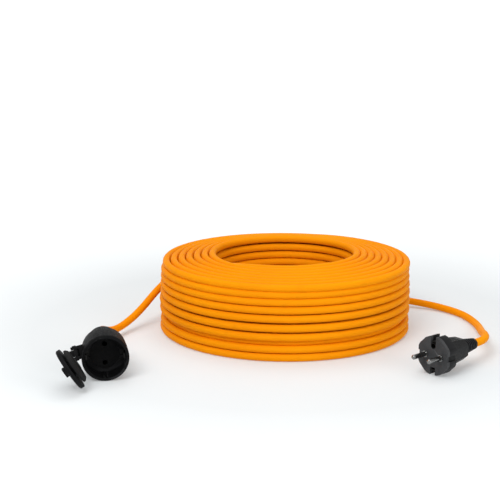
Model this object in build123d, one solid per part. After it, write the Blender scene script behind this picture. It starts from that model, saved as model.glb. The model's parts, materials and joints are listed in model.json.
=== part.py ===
from build123d import *
import math
import os

# Extension cord: about 50 m of round three-core cord wound into one coil that lies flat on the floor.
# One end carries a two-pin earthed plug, the other a coupler socket with a hinged cap that stands open.
# Millimetres, +Z up. The origin is on the coil's axis, on the floor.

# ---- cord and coil ----
cord_d = 8.1
coil_r = 140.0              # outer radius
eye_r = 76.5                # radius of the open eye
coil_outer_h = 80.0         # height at the outer edge
coil_inner_h = 87.4         # the top rises towards the eye
coil_edge_r = 4.0           # one cord radius at the outer edges
core_d = 2.8                # one insulated conductor

# ---- coupler socket ----
coupler_turn = 12.0         # degrees the mouth is turned from -Y towards +X
rim_r = 22.8
recess_r = 19.9
recess_depth = 17.5
cavity_r = 14.8
cup_len = 36.0              # the wide front of the housing
housing_len = 50.0
neck_r = 16.9               # the housing's narrow rear
rear_len = 16.0
coupler_len = 86.0          # rim to the end of the strain relief
mouth = Vector(-169.7, -203.5, rim_r)
pin_pitch = 19.0
socket_hole_r = 2.55
cover_screw_z = -46.3
coupler_clamp_z = -56.0     # middle of the cord clamp
earth_strip_w = 5.0

# ---- hinged cap, in the coupler's own frame: x right, y up, z out of the mouth ----
hinge_at = Vector(-28.0, 4.2, -8.0)
hinge_dir = Vector(-0.23, 0.919, -0.321).normalized()
open_angle = 92.0           # how far the stored pose is turned from closed
hinge_pin_r = 1.2
knuckle_len = 6.5
knuckle_r = 3.4
hinge_gap = 0.35
ear_t = 2.9
cap_r = 21.0
cap_t = 4.0
cap_lift = 0.4              # gap between the rim and the closed cap
seal_r = 17.4
knob_side = 9.0
knob_h = 4.4

# ---- plug ----
plug_face_at = Vector(145.0, -174.0, 19.5)
plug_heading = -137.0       # degrees, the way the pins point
face_r = 19.5
face_flat = 18.2            # half the distance between the two side flats
face_chamfer = 18.9         # half the distance between the diagonal flats
face_t = 3.4
rim_back = 13.5             # back of the thick rim, behind the face
plug_cavity_r = 15.2
grip_end = 41.0
plug_len = 64.0             # face to the end of the strain relief
pin_r = 2.4
pin_len = 19.0
collar_r = 3.3
collar_t = 0.8
slot_w = 6.2
slot_in = 11.6              # inner end of an earth slot, from the plug's axis
tongue_at = 13.9            # the earth contact stands in its slot, clear of the inner end
earth_hole_y = 10.0
earth_hole_r = 2.45

relief_bore = cord_d / 2 + 0.1
screw_r = 1.3
screw_hole_r = 1.35

# ---- routes of the two free ends, between their strain relief and the coil ----
coupler_axis = Vector(math.sin(math.radians(coupler_turn)), -math.cos(math.radians(coupler_turn)), 0)
plug_axis = Vector(math.cos(math.radians(plug_heading)), math.sin(math.radians(plug_heading)), 0)
coupler_exit = mouth - coupler_axis * coupler_len
plug_exit = plug_face_at - plug_axis * plug_len

socket_route = [
    coupler_exit,
    coupler_exit - coupler_axis * 13,
    Vector(-191.0, -93.5, 19.6),
    Vector(-188.8, -80.5, 14.8),
    Vector(-185.2, -68.0, 11.4),
    Vector(-181.2, -56.0, 10.0),
    Vector(-177.0, -44.5, 10.4),
    Vector(-171.9, -33.0, 12.4),
    Vector(-165.2, -21.5, 16.8),
    Vector(-156.8, -8.5, 24.4),
    Vector(-147.8, 9.5, 34.0),
    Vector(-137.6, 32.0, 41.0),
    Vector(-124.5, 54.5, 44.3),
]
plug_route = [
    plug_exit,
    plug_exit - plug_axis * 10,
    Vector(204.8, -114.6, 19.4),
    Vector(208.0, -104.2, 19.0),
    Vector(209.2, -92.5, 17.8),
    Vector(210.2, -78.0, 15.2),
    Vector(212.0, -60.0, 11.2),
    Vector(214.6, -38.0, 7.4),
    Vector(216.0, -13.0, 4.9),
    Vector(213.4, 14.0, 4.1),
    Vector(205.6, 39.5, 4.1),
    Vector(191.0, 61.0, 4.3),
    Vector(169.5, 77.0, 5.8),
    Vector(142.0, 88.6, 7.8),
    Vector(112.0, 99.8, 8.3),
    Vector(80.0, 112.4, 6.6),
]

coupler_place = Plane(
    origin=mouth, x_dir=Vector(-coupler_axis.Y, coupler_axis.X, 0), z_dir=coupler_axis
).location
plug_place = Plane(
    origin=plug_face_at, x_dir=Vector(-plug_axis.Y, plug_axis.X, 0), z_dir=plug_axis
).location


# ---------------------------------------------------------------- helpers
def rod(radius, low, high, x=0.0, y=0.0):
    """A cylinder along the local z axis between two heights."""
    return Pos(x, y, (low + high) / 2) * Cylinder(radius, high - low)


def block(x0, x1, y0, y1, z0, z1):
    """A box between two corners."""
    return Pos((x0 + x1) / 2, (y0 + y1) / 2, (z0 + z1) / 2) * Box(x1 - x0, y1 - y0, z1 - z0)


def turned(points):
    """A solid of revolution about the local z axis from (radius, z) points."""
    outline = Polyline(*[(r, 0, z) for r, z in points], close=True)
    return revolve(make_face(outline), Axis.Z)


def side_rod(radius, x0, x1, y, z):
    """A cylinder along the local x axis."""
    return Pos((x0 + x1) / 2, y, z) * (Rot(0, 90, 0) * Cylinder(radius, abs(x1 - x0)))


def upright_rod(radius, y0, y1, x, z):
    """A cylinder along the local y axis."""
    return Pos(x, (y0 + y1) / 2, z) * (Rot(90, 0, 0) * Cylinder(radius, abs(y1 - y0)))


def bend_radii(points):
    """The largest arc at each corner that both of its runs allow."""
    radii = []
    for before, here, after in zip(points, points[1:], points[2:]):
        run_in = here - before
        run_out = after - here
        turn = math.radians(run_in.get_angle(run_out))
        radii.append(0.45 * min(run_in.length, run_out.length) / math.tan(turn / 2))
    return radii


def tube(points, diameter):
    """A round tube of straight runs and tangent arcs, with its path."""
    path = FilletPolyline(*points, radius=bend_radii(points))
    start = Plane(origin=points[0], z_dir=points[1] - points[0])
    return sweep(start * Circle(diameter / 2), path=path), path


def core(points):
    """One insulated conductor between the jacket's end and a terminal."""
    solid, _ = tube([Vector(*p) for p in points], core_d)
    return solid


def ribbed_relief(flange_r, flange_low, flange_high, neck_r, neck_low, bulge_r, end_r, end, grooves):
    """A tapered rubber sleeve: inner flange, neck through the wall, then a ribbed taper."""
    profile = [
        (relief_bore, flange_high),
        (flange_r, flange_high),
        (flange_r, flange_low),
        (neck_r, flange_low),
        (neck_r, neck_low),
        (bulge_r, neck_low),
        (bulge_r, neck_low - 3.0),
        (end_r, end + 1.2),
        (end_r - 0.8, end),
        (relief_bore, end),
    ]
    sleeve = turned(profile)
    first = neck_low - 4.5
    step = (first - end - 3.0) / grooves
    for i in range(grooves):
        top = first - i * step
        share = (neck_low - 3.0 - top) / (neck_low - 3.0 - end)
        outer = bulge_r + (end_r - bulge_r) * share
        sleeve -= rod(outer + 3.0, top - step * 0.42, top) - rod(outer - 0.9, top - step, top + 1)
    return sleeve


def chamfered(width, height, corner, z):
    """A rectangle with cut corners, at height z."""
    w, h = width / 2, height / 2
    points = [
        (w - corner, h), (w, h - corner), (w, corner - h), (w - corner, -h),
        (corner - w, -h), (-w, corner - h), (-w, h - corner), (corner - w, h),
    ]
    return make_face(Polyline(*[(x, y, z) for x, y in points], close=True))


# ---------------------------------------------------------------- cord
def cord_coil():
    """The outer shape of the whole coil: a ring whose top rises towards the eye."""
    return turned([
        (eye_r, 0),
        (coil_r - coil_edge_r, 0),
        (coil_r - 1.2, 1.2),
        (coil_r, coil_edge_r),
        (coil_r, coil_outer_h - coil_edge_r),
        (coil_r - 1.2, coil_outer_h - 1.2),
        (coil_r - coil_edge_r, coil_outer_h),
        (eye_r, coil_inner_h),
    ])


# ---------------------------------------------------------------- coupler
def coupler_housing():
    body = turned([
        (rim_r - 0.8, 0),
        (rim_r, -0.8),
        (rim_r - 0.3, -18),
        (rim_r - 1.1, 3 - cup_len),
        (rim_r - 2.6, -cup_len),
        (neck_r + 0.6, -cup_len - 3.6),
        (neck_r, -housing_len),
        (0, -housing_len),
        (0, 0),
    ])
    body -= rod(recess_r, -recess_depth, 1)
    body -= rod(cavity_r, -housing_len - 1, -recess_depth)
    # Guide ribs stand out of the recess wall, in pairs above and below the contacts.
    for side in (-1, 1):
        for x in (-1.8, 1.8):
            rib = block(x - 0.7, x + 0.7, side * 19.2 - 0.9, side * 19.2 + 0.9, -recess_depth, -2.0)
            body += rib & rod(recess_r + 0.4, -recess_depth, 0)
    # Radial slots for the two earth contacts.
    half = earth_strip_w / 2 + 0.2
    body -= block(-19.6, 19.6, -half, half, -20.4, -recess_depth)
    # Two countersunk screws hold the rear cover's spigot.
    for side in (-1, 1):
        body -= side_rod(screw_hole_r, side * 12, side * 19, 0, cover_screw_z)
        body -= side_rod(2.6, side * 15.9, side * 19, 0, cover_screw_z)
    return body + hinge_ears()


def hinge_plane():
    """At the hinge, z along its axis and x towards the cup."""
    inward = Vector(1, 0, 0) - hinge_dir * hinge_dir.X
    return Plane(origin=hinge_at, x_dir=inward, z_dir=hinge_dir)


def hinge_ears():
    """Two ears on the cup's left side, with a drilled hole for the pin."""
    place = hinge_plane().location
    ears = None
    for side in (-1, 1):
        near = knuckle_len / 2 + hinge_gap
        low, high = sorted((side * near, side * (near + ear_t)))
        ear = rod(3.6, low, high) + block(0, 8.6, -3.6, 3.2, low, high)
        ear = place * (ear - rod(hinge_pin_r + 0.02, low - 1, high + 1))
        ears = ear if ears is None else ears + ear
    # The root closes the space beside the knuckle, and a web behind it stops the cap's back swing.
    reach = knuckle_len / 2 + hinge_gap + ear_t
    clear = knuckle_r + 0.45
    root = block(clear, 8.6, -3.6, clear + 1.6, -reach, reach)
    root += block(0.5, clear + 1, clear, clear + 1.6, -reach, reach)
    ears += place * root
    return ears - rod(21.0, -40, 5)


def coupler_contact_carrier():
    body = rod(cavity_r - 0.2, -33, -recess_depth)
    for side in (-1, 1):
        y = side * pin_pitch / 2
        body -= rod(socket_hole_r, -22, 0, y=y)
        body -= rod(3.7, -34, -20.5, y=y)
    half = earth_strip_w / 2 + 0.2
    body -= block(-20, 20, -half, half, -20.4, -18.8)
    body -= block(-half, half, -half, half, -34, -19)
    return body


def coupler_contact(side):
    """A brass sleeve that grips the pin, with its terminal block behind."""
    y = side * pin_pitch / 2
    contact = rod(3.5, -33.5, -20.8, y=y) + block(-3.4, 3.4, y - 3.4, y + 3.4, -41, -33.2)
    contact -= rod(socket_hole_r, -37, -20, y=y)
    return contact - side_rod(screw_hole_r, 0.6, 5, y, -39.0)


def coupler_earth_strip():
    """One strip: a bridge behind the recess floor and a tongue up each side wall."""
    half = earth_strip_w / 2
    strip = block(-19.2, 19.2, -half, half, -20.0, -19.1)
    for side in (-1, 1):
        x0, x1 = sorted((side * 18.3, side * 19.2))
        strip += block(x0, x1, -half, half, -20.0, -5.0)
        bend = Pos(side * 18.3, 0, -9.0) * (Rot(90, 0, 0) * Cylinder(1.6, 2 * half))
        strip += bend & block(-18.5, 18.5, -half, half, -12, -5)
    strip += block(-half, half, -half, half, -27, -19.5)
    return strip - side_rod(screw_hole_r, 0.4, half + 1, 0, -24.5)


def coupler_terminal_screws():
    screws = [side_rod(screw_r, 0.7, 6.0, side * pin_pitch / 2, -39.0) for side in (-1, 1)]
    screws.append(side_rod(screw_r, 0.5, 2.45, 0, -24.5))
    return Compound(children=screws)


def coupler_rear_cover():
    back = -housing_len - rear_len
    cover = turned([
        (0, -housing_len - 0.1), (neck_r, -housing_len - 0.1), (15.4, back + 6.6), (9.8, back), (0, back),
    ])
    cover += rod(cavity_r - 0.15, -housing_len - 0.6, -42.2)
    cover -= rod(11.6, -housing_len - 1, -41)
    cover -= rod(13.4, back + 5.8, -housing_len - 1)
    cover -= rod(7.4, back - 1, back + 6)
    for side in (-1, 1):
        cover -= side_rod(screw_hole_r, side * 11, side * 15, 0, cover_screw_z)
    return cover


def coupler_cover_screws():
    screws = []
    for side in (-1, 1):
        head = side_rod(2.5, side * 16.0, side * 16.9, 0, cover_screw_z)
        head -= block(-20, 20, -0.4, 0.4, cover_screw_z - 3, cover_screw_z + 3)
        screws.append(head + side_rod(screw_r, side * 12.2, side * 16.4, 0, cover_screw_z))
    return Compound(children=screws)


def cord_clamp(z_low, z_high, half_width, screw_x, top):
    """Two bars that grip the jacket from above and below."""
    bars = []
    for side in (-1, 1):
        y0, y1 = sorted((side * 2.6, side * top))
        bar = block(-half_width, half_width, y0, y1, z_low, z_high)
        bar -= rod(cord_d / 2 + 0.05, z_low - 1, z_high + 1)
        for x in (-screw_x, screw_x):
            bar -= upright_rod(screw_hole_r, -9, 9, x, (z_low + z_high) / 2)
        bars.append(bar)
    return Compound(children=bars)


def clamp_screws(z, screw_x, top):
    """Two screws through both bars, with their heads on the upper one."""
    screws = []
    for x in (-screw_x, screw_x):
        shaft = upright_rod(screw_r, 0.2 - top, top + 0.2, x, z)
        screws.append(shaft + upright_rod(2.1, top + 0.1, top + 1.3, x, z))
    return Compound(children=screws)


def line_core(side):
    """The live or neutral conductor, from the middle of the cord out to its contact."""
    out = side * pin_pitch / 2
    return core([(-1.0, side * 1.8, -53.5), (-1.0, side * 1.8, -50.5), (0, out, -44.5), (0, out, -41.05)])


# ---------------------------------------------------------------- cap, modelled closed
def cap_shell():
    plate = rod(cap_r, cap_lift, cap_lift + cap_t)
    plate = chamfer(plate.edges().filter_by(GeomType.CIRCLE).sort_by(Axis.Z)[-1], 0.8)
    half = knob_side / 2
    knob = block(-half, half, -half, half, cap_lift + cap_t - 0.2, cap_lift + cap_t + knob_h)
    knob = chamfer(knob.edges().filter_by(Axis.Z), 1.2)
    hub = rod(8.0, -1.7, cap_lift + 0.2) + rod(5.0, -5.5, 0)
    place = hinge_plane().location
    half_len = knuckle_len / 2
    arm = rod(knuckle_r, -half_len, half_len) + block(-1.6, 1.6, -10.2, 0, -half_len, half_len)
    arm = place * arm
    bridge = block(-29.6, -16, 4.6, 10.4, cap_lift + 0.2, cap_lift + 2.8)
    body = plate + knob + hub + arm + bridge
    body -= place * rod(hinge_pin_r + 0.06, -half_len - 1, half_len + 1)
    return body - rod(1.55, -7, 0.6)


def cap_seal_disc():
    return turned([(5.1, -1.8), (seal_r, -1.8), (seal_r, -3.4), (seal_r - 2.0, -5.4), (5.1, -5.4)])


def cap_rivet():
    head = chamfer(rod(6.4, -6.7, -5.55).edges().filter_by(GeomType.CIRCLE).sort_by(Axis.Z)[0], 0.5)
    return head + rod(1.5, -5.7, 0.4)


def hinge_pin():
    reach = knuckle_len / 2 + hinge_gap + ear_t
    pin = rod(hinge_pin_r, -reach - 0.3, reach + 0.3)
    for side in (-1, 1):
        low, high = sorted((side * (reach + 0.05), side * (reach + 0.9)))
        pin += rod(1.9, low, high)
    return hinge_plane().location * pin


# ---------------------------------------------------------------- plug
def plug_outline(z):
    """The face's outline: a circle with two side flats, four diagonal flats and two guide notches."""
    shape = Circle(face_r) & Rectangle(2 * face_flat, 2 * face_r)
    shape &= Rot(0, 0, 45) * Rectangle(2 * face_chamfer, 2 * face_chamfer)
    for side in (-1, 1):
        shape -= Pos(side * face_flat, 0) * Rectangle(2.6, 5.6)
        shape -= Pos(0, side * (slot_in + face_r + 1) / 2) * Rectangle(slot_w, face_r + 1 - slot_in)
    return Pos(0, 0, z) * shape


def plug_face():
    plate = extrude(plug_outline(-face_t), amount=face_t)
    for side in (-1, 1):
        plate -= rod(pin_r + 0.05, -5, 1, x=side * pin_pitch / 2)
    plate -= rod(3.05, -5, 1, y=earth_hole_y)
    plate -= rod(screw_hole_r, -5, -1.6, y=-8)
    for side in (-1, 1):
        plate -= rod(1.25, -5, -1.2, x=side * 11.9, y=-side * 11.9)
    return plate


def plug_shell():
    """The rear shell: a thick slotted rim and a faceted grip that narrows to the cord."""
    shell = extrude(plug_outline(-rim_back), amount=rim_back - face_t - 0.05)
    shell += loft([chamfered(28, 26, 6, -rim_back), chamfered(22, 20.5, 5, -grip_end)])
    shell -= rod(plug_cavity_r, -rim_back + 1.0, 0) & block(-16, 16, 1.2 - slot_in, slot_in - 1.2, -20, 0)
    shell -= loft([chamfered(23.5, 21.5, 4.5, -rim_back + 2), chamfered(18, 17.4, 3.5, -grip_end + 1.9)])
    shell -= rod(7.1, -grip_end - 1, -grip_end + 3)
    shell -= rod(3.1, -rim_back + 1, 0, y=earth_hole_y)
    shell -= block(-2.6, 2.6, -15.2, 15.2, -4.7, 0) + rod(4.7, -4.7, 0, y=earth_hole_y)
    for side in (-1, 1):
        shell -= rod(1.35, -rim_back - 1, 0, x=side * 11.9, y=-side * 11.9)
        shell -= rod(2.3, -rim_back - 1, -rim_back + 1.6, x=side * 11.9, y=-side * 11.9)
    # Finger grooves across the two broad sides of the grip.
    for side in (-1, 1):
        for i in range(4):
            z = -19.5 - 4.0 * i
            half_height = 13.0 + (10.25 - 13.0) * (-z - rim_back) / (grip_end - rim_back)
            y0, y1 = sorted((side * (half_height - 0.7), side * (half_height + 2)))
            shell -= block(-6.5, 6.5, y0, y1, z - 0.8, z + 0.8)
    return shell


def plug_pin(side):
    """A round pin with a rounded tip, a bright collar and the terminal block behind the face."""
    x = side * pin_pitch / 2
    shaft = fillet(rod(pin_r, -4.0, pin_len).edges().filter_by(GeomType.CIRCLE).sort_by(Axis.Z)[-1], 2.0)
    pin = Pos(x, 0, 0) * shaft
    pin += rod(collar_r, 0.02, collar_t, x=x)
    pin += block(x - 3.4, x + 3.4, -3.4, 3.4, -12.2, -face_t - 0.1)
    return pin - upright_rod(screw_hole_r, 0.6, 5, x, -8.5)


def plug_earth_strip():
    """A strip behind the face with a contact tongue in each slot."""
    half = 2.3
    strip = block(-half, half, -14.8, 14.8, -4.4, -face_t - 0.1)
    strip += rod(4.4, -4.4, -face_t - 0.1, y=earth_hole_y) & block(-9, 9, 0, tongue_at + 0.5, -9, 0)
    for side in (-1, 1):
        y0, y1 = sorted((side * tongue_at, side * (tongue_at + 0.9)))
        strip += block(-half, half, y0, y1, -4.4, -0.5)
    strip -= rod(3.05, -5, 0, y=earth_hole_y)
    return strip - rod(screw_hole_r, -5, 0, y=-8)


def plug_earth_tube():
    return rod(3.0, -12.0, -0.3, y=earth_hole_y) - rod(earth_hole_r, -13, 0, y=earth_hole_y)


def plug_terminal_screws():
    screws = [upright_rod(screw_r, 0.7, 6.2, side * pin_pitch / 2, -8.5) for side in (-1, 1)]
    screws.append(rod(screw_r, -4.6, -1.8, y=-8) + rod(2.1, -6.3, -4.5, y=-8))
    return Compound(children=screws)


def plug_cover_screws():
    screws = []
    for side in (-1, 1):
        x, y = side * 11.9, -side * 11.9
        screw = rod(1.2, -rim_back + 1.5, -1.4, x=x, y=y)
        screw += rod(2.2, -rim_back + 0.3, -rim_back + 1.55, x=x, y=y)
        slot = block(x - 3, x + 3, y - 0.4, y + 0.4, -rim_back + 0.2, -rim_back + 0.8)
        screws.append(screw - slot)
    return Compound(children=screws)


# ---------------------------------------------------------------- everything
socket_tail, socket_path = tube(socket_route, cord_d)
plug_tail, plug_path = tube(plug_route, cord_d)
for label, points, solid, path in (
    ("socket end", socket_route, socket_tail, socket_path),
    ("plug end", plug_route, plug_tail, plug_path),
):
    section = math.pi * cord_d ** 2 / 4
    print(label, "radii", [round(r) for r in bend_radii(points)])
    share = solid.volume / (section * path.length)
    print(label, "length", round(path.length, 1), "volume share", round(share, 4))

coupler_parts = {
    "coupler_housing": coupler_housing(),
    "coupler_contact_carrier": coupler_contact_carrier(),
    "coupler_contact_live": coupler_contact(1),
    "coupler_contact_neutral": coupler_contact(-1),
    "coupler_earth_strip": coupler_earth_strip(),
    "coupler_terminal_screws": coupler_terminal_screws(),
    "coupler_rear_cover": coupler_rear_cover(),
    "coupler_cover_screws": coupler_cover_screws(),
    "coupler_cord_clamp": cord_clamp(coupler_clamp_z - 2, coupler_clamp_z + 2, 10.0, 7.2, 6.8),
    "coupler_clamp_screws": clamp_screws(coupler_clamp_z, 7.2, 6.8),
    "coupler_strain_relief": ribbed_relief(9.0, -60.0, -58.2, 7.3, -66.2, 7.6, 5.3, -coupler_len, 4),
    "coupler_cord_end": rod(cord_d / 2, -coupler_len, -53.5),
    "coupler_core_live": line_core(1),
    "coupler_core_neutral": line_core(-1),
    "coupler_core_earth": core([(2.1, 0, -53.5), (2.1, 0, -49), (0, 0, -36), (0, 0, -27.05)]),
    "hinge_pin": hinge_pin(),
}
cap_parts = {
    "cap_shell": cap_shell(),
    "cap_seal_disc": cap_seal_disc(),
    "cap_rivet": cap_rivet(),
}
plug_parts = {
    "plug_face": plug_face(),
    "plug_shell": plug_shell(),
    "plug_pin_live": plug_pin(-1),
    "plug_pin_neutral": plug_pin(1),
    "plug_earth_strip": plug_earth_strip(),
    "plug_earth_tube": plug_earth_tube(),
    "plug_terminal_screws": plug_terminal_screws(),
    "plug_cover_screws": plug_cover_screws(),
    "plug_cord_clamp": cord_clamp(-35.5, -32, 8.2, 6.2, 5.6),
    "plug_clamp_screws": clamp_screws(-33.75, 6.2, 5.6),
    "plug_strain_relief": ribbed_relief(8.4, -39.0, -36.2, 7.0, -41.2, 8.2, 5.6, -plug_len, 5),
    "plug_cord_end": rod(cord_d / 2, -plug_len, -31),
    "plug_core_live": core([(-1.8, 1.0, -31), (-1.8, 1.0, -27), (-8.0, 0, -18), (-8.0, 0, -12.25)]),
    "plug_core_neutral": core([(1.8, 1.0, -31), (1.8, 1.0, -27), (8.0, 0, -18), (8.0, 0, -12.25)]),
    "plug_core_earth": core([(0, -2.1, -31), (0, -2.1, -27), (0, -6.9, -17), (0, -6.9, -6.35)]),
}

parts = {"cord_coil": cord_coil(), "cord_tail_socket": socket_tail, "cord_tail_plug": plug_tail}
for name, shape in coupler_parts.items():
    parts[name] = coupler_place * shape
hinge = Axis(hinge_at, hinge_dir)
for name, shape in cap_parts.items():
    parts[name] = coupler_place * shape.rotate(hinge, -open_angle)
for name, shape in plug_parts.items():
    parts[name] = plug_place * shape

os.makedirs("parts", exist_ok=True)
for name, shape in parts.items():
    export_step(shape, "parts/" + name + ".step")
print(len(parts), "nodes")
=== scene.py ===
import json
import math

import bmesh
import bpy
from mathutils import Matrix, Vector

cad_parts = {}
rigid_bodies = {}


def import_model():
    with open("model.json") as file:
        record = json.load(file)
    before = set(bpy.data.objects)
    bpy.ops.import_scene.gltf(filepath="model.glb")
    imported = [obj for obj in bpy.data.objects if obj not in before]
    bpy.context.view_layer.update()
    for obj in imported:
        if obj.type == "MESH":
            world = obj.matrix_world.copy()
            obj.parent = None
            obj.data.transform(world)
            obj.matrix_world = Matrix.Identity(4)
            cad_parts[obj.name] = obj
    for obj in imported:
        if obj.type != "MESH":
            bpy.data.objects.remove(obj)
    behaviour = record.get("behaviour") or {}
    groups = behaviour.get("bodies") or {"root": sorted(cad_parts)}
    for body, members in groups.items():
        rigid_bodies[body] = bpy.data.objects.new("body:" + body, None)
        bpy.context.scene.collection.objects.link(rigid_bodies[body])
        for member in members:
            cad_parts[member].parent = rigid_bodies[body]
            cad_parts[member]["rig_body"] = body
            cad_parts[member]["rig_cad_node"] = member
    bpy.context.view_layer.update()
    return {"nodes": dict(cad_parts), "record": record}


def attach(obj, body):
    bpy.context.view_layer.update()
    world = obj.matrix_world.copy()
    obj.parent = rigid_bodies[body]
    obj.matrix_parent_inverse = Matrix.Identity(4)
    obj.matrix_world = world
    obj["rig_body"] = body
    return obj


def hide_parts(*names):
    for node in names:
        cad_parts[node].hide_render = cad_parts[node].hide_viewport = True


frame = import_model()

nodes = frame["nodes"]


# ---------------------------------------------------------------- camera
def make_camera():
    data = bpy.data.cameras.new("camera")
    data.lens = 79.2
    data.sensor_width = 36.0
    camera = bpy.data.objects.new("camera", data)
    camera.location = (0.00295, -1.20385, 0.34201)
    camera.rotation_euler = (math.radians(90 - 11.977), 0, math.radians(1.987))
    bpy.context.scene.collection.objects.link(camera)
    bpy.context.scene.camera = camera


make_camera()


# ---------------------------------------------------------------- cord
CORD_D = 0.0081
POINTS_PER_TURN = 16
OUTER_R = 0.1359            # centre of the outermost turn
INNER_R = 0.0804            # centre of the turns that line the eye
RINGS = [8, 8, 7, 8, 8, 8, 7, 8, 8, 8]
OUTER_SHIFT = [0, -0.0005, -0.0050, 0, 0.0003, 0, -0.0003, -0.0008, -0.0012, -0.0015]
OUTER_Z = [0.00405, 0.0124, 0.0186, 0.0252, 0.0347, 0.0443, 0.0531, 0.0614, 0.0690, 0.0760]
INNER_Z = [0.00405, 0.0125, 0.0210, 0.0298, 0.0385, 0.0473, 0.0560, 0.0645, 0.0735, 0.0833]
TOP = 9
COUPLER_LEN = 0.086
PLUG_LEN = 0.064

# Where turns step from one ring or layer to the next, in degrees round the coil.
START_ANGLE = 69.5          # the plug's free end joins the first turn
FIRST_STEP = 385.0          # the first step inwards, on the floor layer
FLOOR_DRIFT = 115.0         # how far the floor layer's steps drift back, over the layer
LAYER_DRIFT = 180.0         # the same for each layer above
TOP_DRIFT = 3               # how far each step of the top layer drifts forward
STEP_WIDTH = 70.0

# The coupler's free end, from its strain relief up to the coil, and the plug's.
coupler_axis = Vector((math.sin(math.radians(12)), -math.cos(math.radians(12)), 0))
plug_axis = Vector((math.cos(math.radians(-137)), math.sin(math.radians(-137)), 0))
coupler_exit = Vector((-0.1697, -0.2035, 0.0228)) - coupler_axis * COUPLER_LEN
plug_exit = Vector((0.1450, -0.1740, 0.0195)) - plug_axis * PLUG_LEN
socket_route = [
    coupler_exit,
    coupler_exit - coupler_axis * 0.013,
    Vector((-0.1910, -0.0935, 0.0196)),
    Vector((-0.1888, -0.0805, 0.0148)),
    Vector((-0.1852, -0.0680, 0.0114)),
    Vector((-0.1812, -0.0560, 0.0100)),
    Vector((-0.1770, -0.0445, 0.0104)),
    Vector((-0.1719, -0.0330, 0.0124)),
    Vector((-0.1652, -0.0215, 0.0168)),
    Vector((-0.1568, -0.0085, 0.0244)),
    Vector((-0.1478, 0.0095, 0.0340)),
    Vector((-0.1385, 0.0320, 0.0408)),
]
plug_route = [
    plug_exit,
    plug_exit - plug_axis * 0.010,
    Vector((0.2048, -0.1146, 0.0194)),
    Vector((0.2080, -0.1042, 0.0190)),
    Vector((0.2092, -0.0925, 0.0178)),
    Vector((0.2102, -0.0780, 0.0152)),
    Vector((0.2120, -0.0600, 0.0112)),
    Vector((0.2146, -0.0380, 0.0074)),
    Vector((0.2160, -0.0130, 0.0049)),
    Vector((0.2134, 0.0140, 0.0041)),
    Vector((0.2056, 0.0395, 0.0041)),
    Vector((0.1910, 0.0610, 0.0043)),
    Vector((0.1695, 0.0770, 0.0058)),
    Vector((0.1420, 0.0886, 0.0078)),
    Vector((0.1120, 0.0998, 0.0083)),
    Vector((0.0800, 0.1124, 0.0066)),
]
# The last turn leaves the top edge at the back and slants down the outside to the coupler's free end.
# Each point is its angle round the coil, its radius and its height.
descent = [
    (100, 0.1352, 0.0757),
    (112, 0.1392, 0.0712),
    (123, 0.1402, 0.0640),
    (134, 0.1402, 0.0565),
    (145, 0.1402, 0.0500),
    (156, 0.1402, 0.0450),
]
PRESSED_LAYERS = (5, 8)     # the layers that the last turn crosses
PRESSED_IN = 0.0045
TOP_PITCH = 0.00785
TOP_PITCH_EXTRA = 0.00075
START_LIFT = 0.0012         # the first turn starts over the plug's free end


def smooth(x, low, high):
    t = min(max((x - low) / (high - low), 0.0), 1.0)
    return t * t * (3 - 2 * t)


def place(layer, ring, angle):
    """Where a turn lies across the coil: ring 0 is the outermost, and the layers count up from the floor."""
    theta = angle % 360
    shift = OUTER_SHIFT[layer]
    outer = OUTER_R + shift
    if PRESSED_LAYERS[0] <= layer <= PRESSED_LAYERS[1]:
        # Pressed in a little where the last turn crosses down over them.
        outer -= PRESSED_IN * smooth(theta, 86, 104) * (1 - smooth(theta, 168, 186))
    if layer == TOP:
        # One turn fewer crosses the left side, so these lie a little wider there.
        wide = smooth(theta, 92, 128) * (1 - smooth(theta, 196, 262))
        pitch = TOP_PITCH + TOP_PITCH_EXTRA * wide
        radius = INNER_R + (RINGS[TOP] - 1 - ring) * pitch
    else:
        radius = outer + (INNER_R - outer) * ring / (RINGS[layer] - 1)
    across = (OUTER_R - radius) / (OUTER_R - INNER_R)
    return radius, OUTER_Z[layer] + (INNER_Z[layer] - OUTER_Z[layer]) * across


def winding():
    """Every step of the winding from the plug's end: (angle of the step's middle, its width, layer, ring)."""
    steps = [(0.0, 1.0, 0, 0)]
    angle = FIRST_STEP
    spacing = 360 - FLOOR_DRIFT / (RINGS[0] - 1)
    for ring in range(1, RINGS[0]):
        steps.append((angle, 62.0, 0, ring))
        angle += spacing
    inward = True
    for layer in range(1, TOP + 1):
        rings = RINGS[layer]
        order = list(range(rings - 1, -1, -1)) if inward else list(range(rings))
        if layer == TOP:
            angle -= 55
            steps.append((angle, 60.0, layer, order[0]))
            for count, ring in enumerate(order[1:]):
                steps.append((angle + 360 * (count + 1) + TOP_DRIFT * count, 66.0 + 4 * count, layer, ring))
            break
        spacing = 360 - LAYER_DRIFT / rings
        for ring in order:
            steps.append((angle, STEP_WIDTH, layer, ring))
            angle += spacing
        inward = not inward
    return steps


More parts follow.
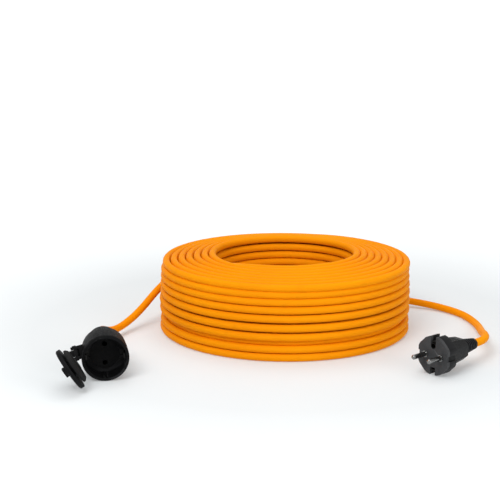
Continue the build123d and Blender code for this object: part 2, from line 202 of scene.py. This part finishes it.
def coil_points():
    """Control points of the turns, sixteen to a turn, from the plug's end up."""
    steps = winding()
    # The last turn ends at the back, seven rounds after the second step of the top layer.
    first_top = steps[1 - RINGS[TOP]][0]
    stop = first_top - first_top % 360 + 360 * (RINGS[TOP] - 1) + 90
    lift = 1 / math.cos(math.pi / POINTS_PER_TURN)
    points = []
    angle, here = START_ANGLE, 0
    while angle < stop:
        while here + 1 < len(steps) and angle > steps[here + 1][0] - steps[here + 1][1] / 2:
            here += 1
        middle, width, layer, ring = steps[here]
        radius, height = place(layer, ring, angle)
        if here > 0:
            before = place(steps[here - 1][2], steps[here - 1][3], angle)
            share = smooth(angle, middle - width / 2, middle + width / 2)
            radius = before[0] + (radius - before[0]) * share
            height = before[1] + (height - before[1]) * share
        if len(points) == 0:
            height += START_LIFT
        turn = math.radians(angle)
        points.append(Vector((radius * lift * math.cos(turn), radius * lift * math.sin(turn), height)))
        angle += 360 / POINTS_PER_TURN
    return points


def make_cord():
    down = [Vector((r * math.cos(math.radians(a)), r * math.sin(math.radians(a)), z)) for a, r, z in descent]
    line = socket_route + down[::-1] + coil_points()[::-1] + plug_route[::-1]
    curve = bpy.data.curves.new("cord", "CURVE")
    curve.dimensions = "3D"
    curve.resolution_u = 4
    curve.bevel_depth = 1.0
    curve.bevel_resolution = 5
    curve.use_fill_caps = True
    spline = curve.splines.new("NURBS")
    spline.points.add(len(line) - 1)
    for point, at in zip(spline.points, line):
        point.co = (at.x, at.y, at.z, 1)
        point.radius = CORD_D / 2
    spline.order_u = 3
    spline.use_endpoint_u = True
    cord = bpy.data.objects.new("cord", curve)
    bpy.context.scene.collection.objects.link(cord)
    return cord


cord = make_cord()
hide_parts("cord_coil", "cord_tail_socket", "cord_tail_plug")
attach(cord, "root")


# ---------------------------------------------------------------- materials
class Finish:
    """A node material, built up in object coordinates, in metres."""

    def __init__(self, name, roughness=0.5, specular=0.5, metallic=0.0):
        self.material = bpy.data.materials.new(name)
        self.material.use_nodes = True
        self.tree = self.material.node_tree
        self.shader = self.tree.nodes["Principled BSDF"]
        self.shader.inputs["Roughness"].default_value = roughness
        self.shader.inputs["Specular IOR Level"].default_value = specular
        self.shader.inputs["Metallic"].default_value = metallic
        self.coordinates = self.tree.nodes.new("ShaderNodeTexCoord")
        self.normal = None

    def add(self, kind, **values):
        node = self.tree.nodes.new(kind)
        for key, value in values.items():
            setattr(node, key, value)
        return node

    def link(self, output, to):
        self.tree.links.new(output, to)

    def noise(self, scale, detail=4.0, rough=0.55, stretch=None):
        node = self.add("ShaderNodeTexNoise")
        node.inputs["Scale"].default_value = scale
        node.inputs["Detail"].default_value = detail
        node.inputs["Roughness"].default_value = rough
        source = self.coordinates.outputs["Object"]
        if stretch:
            mapping = self.add("ShaderNodeMapping")
            mapping.inputs["Scale"].default_value = stretch
            self.link(source, mapping.inputs["Vector"])
            source = mapping.outputs["Vector"]
        self.link(source, node.inputs["Vector"])
        return node.outputs["Fac"]

    def ramp(self, value, stops):
        node = self.add("ShaderNodeValToRGB")
        ramp = node.color_ramp
        while len(ramp.elements) < len(stops):
            ramp.elements.new(0.5)
        for element, (at, colour) in zip(ramp.elements, stops):
            element.position = at
            element.color = (*colour, 1)
        self.link(value, node.inputs["Fac"])
        return node.outputs["Color"]

    def spread(self, value, low, high, start=0.3, end=0.7):
        node = self.add("ShaderNodeMapRange")
        node.inputs["From Min"].default_value = start
        node.inputs["From Max"].default_value = end
        node.inputs["To Min"].default_value = low
        node.inputs["To Max"].default_value = high
        self.link(value, node.inputs["Value"])
        return node.outputs["Result"]

    def mix(self, factor, first, second, mode="MIX"):
        node = self.add("ShaderNodeMix", data_type="RGBA", blend_type=mode)
        self.link(factor, node.inputs["Factor"])
        for value, socket in ((first, node.inputs[6]), (second, node.inputs[7])):
            if isinstance(value, tuple):
                socket.default_value = (*value, 1)
            else:
                self.link(value, socket)
        return node.outputs[2]

    def colour(self, value):
        self.link(value, self.shader.inputs["Base Color"])

    def roughness(self, value):
        self.link(value, self.shader.inputs["Roughness"])

    def bump(self, value, distance, strength=1.0):
        node = self.add("ShaderNodeBump")
        node.inputs["Strength"].default_value = strength
        node.inputs["Distance"].default_value = distance
        self.link(value, node.inputs["Height"])
        if self.normal:
            self.link(self.normal, node.inputs["Normal"])
        self.normal = node.outputs["Normal"]
        self.link(self.normal, self.shader.inputs["Normal"])

    def worn(self):
        """How far an edge stands out, for rubbed edges."""
        geometry = self.add("ShaderNodeNewGeometry")
        return self.spread(geometry.outputs["Pointiness"], 0, 1, 0.52, 0.62)


def paint(piece, finish):
    piece.data.materials.clear()
    piece.data.materials.append(finish.material)


def jacket():
    f = Finish("cord_orange_pvc", roughness=0.5, specular=0.02)
    tone = f.ramp(f.noise(7, 3), [(0.30, (0.79, 0.245, 0.0014)), (0.70, (0.87, 0.295, 0.0022))])
    scuff = f.spread(f.noise(150, 6, 0.7), 0.0, 0.18, 0.60, 0.78)
    colour = f.mix(scuff, tone, (0.91, 0.38, 0.008))
    grime = f.spread(f.noise(55, 5, 0.65), 0.0, 0.18, 0.56, 0.74)
    f.colour(f.mix(grime, colour, (0.52, 0.155, 0.004)))
    f.roughness(f.spread(f.noise(260, 5), 0.44, 0.60))
    f.bump(f.noise(1400, 2), 0.00004, 0.5)
    f.bump(f.noise(160, 3), 0.00010, 0.5)
    return f


def moulded(name, dark, light, grain=2600, rough=(0.42, 0.62), grain_depth=0.00006, edge=None, specular=0.10):
    f = Finish(name, specular=specular)
    tone = f.ramp(f.noise(60, 4), [(0.32, dark), (0.68, light)])
    if edge:
        tone = f.mix(f.worn(), tone, edge)
    f.colour(tone)
    f.roughness(f.spread(f.noise(420, 4), *rough))
    f.bump(f.noise(grain, 3), grain_depth, 0.6)
    f.bump(f.noise(180, 2), 0.00006, 0.4)
    return f


def metal(name, dark, light, roughness=(0.18, 0.34), lines=(1, 1, 1)):
    f = Finish(name, metallic=1.0)
    f.colour(f.ramp(f.noise(300, 5), [(0.30, dark), (0.70, light)]))
    f.roughness(f.spread(f.noise(1200, 4, stretch=lines), *roughness))
    f.bump(f.noise(1500, 3, stretch=lines), 0.00002, 0.5)
    return f


finishes = {
    "cord_jacket": jacket(),
    "coupler_plastic": moulded(
        "coupler_black", (0.0020, 0.0020, 0.0022), (0.0040, 0.0040, 0.0043),
        rough=(0.5, 0.7), edge=(0.014, 0.014, 0.015)
    ),
    "carrier_plastic": moulded(
        "carrier_black", (0.0022, 0.0022, 0.0023), (0.0042, 0.0042, 0.0044), grain=3200, rough=(0.55, 0.75)
    ),
    # The contacts' near-black colour is painted shade: they lie in shade in the recess, and that shade is
    # painted into the metal's colour.
    "brass_contacts": metal("contact_tinned_painted_shade", (0.016, 0.0155, 0.015), (0.032, 0.031, 0.030), (0.40, 0.60)),
    "steel_screws": metal("screw_steel", (0.22, 0.22, 0.23), (0.36, 0.36, 0.37), (0.25, 0.42)),
    "clamp_plastic": moulded("clamp_grey", (0.03, 0.03, 0.033), (0.05, 0.05, 0.053), grain=2200),
    "relief_rubber": moulded(
        "relief_rubber", (0.004, 0.004, 0.0045), (0.008, 0.008, 0.009),
        grain=1800, rough=(0.45, 0.65), grain_depth=0.0001, edge=(0.024, 0.024, 0.026), specular=0.16
    ),
    "cap_rubber": moulded(
        "cap_rubber", (0.0026, 0.0026, 0.0028), (0.0054, 0.0054, 0.0058),
        grain=1900, rough=(0.52, 0.72), grain_depth=0.0001, edge=(0.016, 0.016, 0.017)
    ),
    "seal_rubber": moulded(
        "seal_rubber", (0.008, 0.008, 0.008), (0.014, 0.014, 0.014),
        grain=1700, rough=(0.6, 0.8), grain_depth=0.0001
    ),
    "plug_face_plastic": moulded(
        "plug_face_grey", (0.036, 0.0365, 0.038), (0.054, 0.055, 0.057),
        grain=2600, rough=(0.5, 0.7), grain_depth=0.00008, edge=(0.09, 0.09, 0.093)
    ),
    "plug_plastic": moulded(
        "plug_black", (0.0036, 0.0036, 0.0038), (0.0070, 0.0070, 0.0074),
        grain=2400, rough=(0.40, 0.56), grain_depth=0.00008, edge=(0.024, 0.024, 0.026), specular=0.16
    ),
    "plated_pins": metal("pin_nickel", (0.17, 0.17, 0.168), (0.28, 0.28, 0.275), (0.14, 0.26)),
    "core_brown": moulded("core_brown", (0.10, 0.035, 0.012), (0.14, 0.05, 0.018), grain=1500),
    "core_blue": moulded("core_blue", (0.01, 0.06, 0.30), (0.015, 0.09, 0.40), grain=1500),
    "core_green_yellow": moulded("core_green_yellow", (0.10, 0.30, 0.03), (0.60, 0.52, 0.03), grain=1500),
}


def softened(node, width):
    """A copy of a moulded CAD piece with its sharp edges rounded, as a mould leaves them."""
    piece = nodes[node].copy()
    piece.data = nodes[node].data.copy()
    piece.name = node + "_moulded"
    # The copy is a piece of its own, so it drops the marks that tie the node to its body.
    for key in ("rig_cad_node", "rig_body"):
        if key in piece:
            del piece[key]
    piece.parent = None
    bpy.context.scene.collection.objects.link(piece)
    bm = bmesh.new()
    bm.from_mesh(piece.data)
    bmesh.ops.remove_doubles(bm, verts=bm.verts, dist=0.000002)
    bmesh.ops.dissolve_limit(
        bm, angle_limit=math.radians(0.6), use_dissolve_boundaries=False, verts=bm.verts, edges=bm.edges
    )
    for face in bm.faces:
        face.smooth = True
    bm.to_mesh(piece.data)
    bm.free()
    bevel = piece.modifiers.new("edges", "BEVEL")
    bevel.width = width
    bevel.segments = 3
    bevel.limit_method = "ANGLE"
    bevel.angle_limit = math.radians(35)
    bevel.harden_normals = True
    bevel.use_clamp_overlap = True
    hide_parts(node)
    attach(piece, "cap" if node.startswith("cap_") else "root")
    return piece


SOFTENED = {
    "coupler_housing": 0.0005,
    "coupler_rear_cover": 0.0005,
    "cap_shell": 0.0006,
    "plug_face": 0.0004,
    "plug_shell": 0.0007,
}
node_slot = {row["node"]: row["material_slot"] for row in frame["record"]["subparts"]}
paint(cord, finishes["cord_jacket"])
for name, piece in nodes.items():
    if name in node_slot:
        paint(piece, finishes[node_slot[name]])
for name, width in SOFTENED.items():
    piece = softened(name, width)


# ---------------------------------------------------------------- floor, world and lights
def make_stage():
    bm = bmesh.new()
    side, far, low = 40.0, 60.0, -0.0001
    front = [bm.verts.new((x, -side, low)) for x in (-side, side)]
    back = [bm.verts.new((x, far, low)) for x in (side, -side)]
    top = [bm.verts.new((x, far, 8.0)) for x in (-side, side)]
    bm.faces.new(front + back)
    bm.faces.new(back[::-1] + top[::-1])
    mesh = bpy.data.meshes.new("studio_floor")
    bm.to_mesh(mesh)
    bm.free()
    floor = bpy.data.objects.new("studio_floor", mesh)
    bpy.context.scene.collection.objects.link(floor)
    f = Finish("floor_white_painted_glow", roughness=0.7, specular=0.1)
    # Its faint cool tint takes up the orange that the coil throws on it.
    f.colour(f.ramp(f.noise(3, 2), [(0.3, (0.560, 0.588, 0.598)), (0.7, (0.580, 0.608, 0.618))]))
    # Painted light: the floor glows, weakly near the object and up to plain white away from it, so the floor
    # round the object reads darker as painted shade.
    away = f.add("ShaderNodeVectorMath", operation="LENGTH")
    f.link(f.coordinates.outputs["Object"], away.inputs[0])
    f.shader.inputs["Emission Color"].default_value = (1, 1, 1, 1)
    f.link(f.spread(away.outputs["Value"], 0.20, 0.80, 0.28, 0.95), f.shader.inputs["Emission Strength"])
    floor.data.materials.append(f.material)


def area_light(name, at, towards, size, power):
    data = bpy.data.lights.new(name, "AREA")
    data.shape = "RECTANGLE"
    data.size, data.size_y = size
    data.energy = power
    light = bpy.data.objects.new(name, data)
    light.location = at
    light.rotation_euler = (Vector(towards) - Vector(at)).to_track_quat("-Z", "Y").to_euler()
    bpy.context.scene.collection.objects.link(light)


make_stage()
area_light("key", (-0.62, -1.25, 1.35), (0, 0, 0.03), (0.9, 0.7), 17)
area_light("fill", (1.15, -1.15, 0.75), (0, 0, 0.03), (0.9, 0.7), 6.5)
area_light("overhead", (-0.2, 0.4, 2.1), (0, 0, 0.0), (1.6, 1.6), 15)
world = bpy.data.worlds.new("studio")
world.use_nodes = True
world.node_tree.nodes["Background"].inputs["Color"].default_value = (1, 1, 1, 1)
world.node_tree.nodes["Background"].inputs["Strength"].default_value = 0.56
bpy.context.scene.world = world
bpy.context.scene.view_settings.view_transform = "Standard"
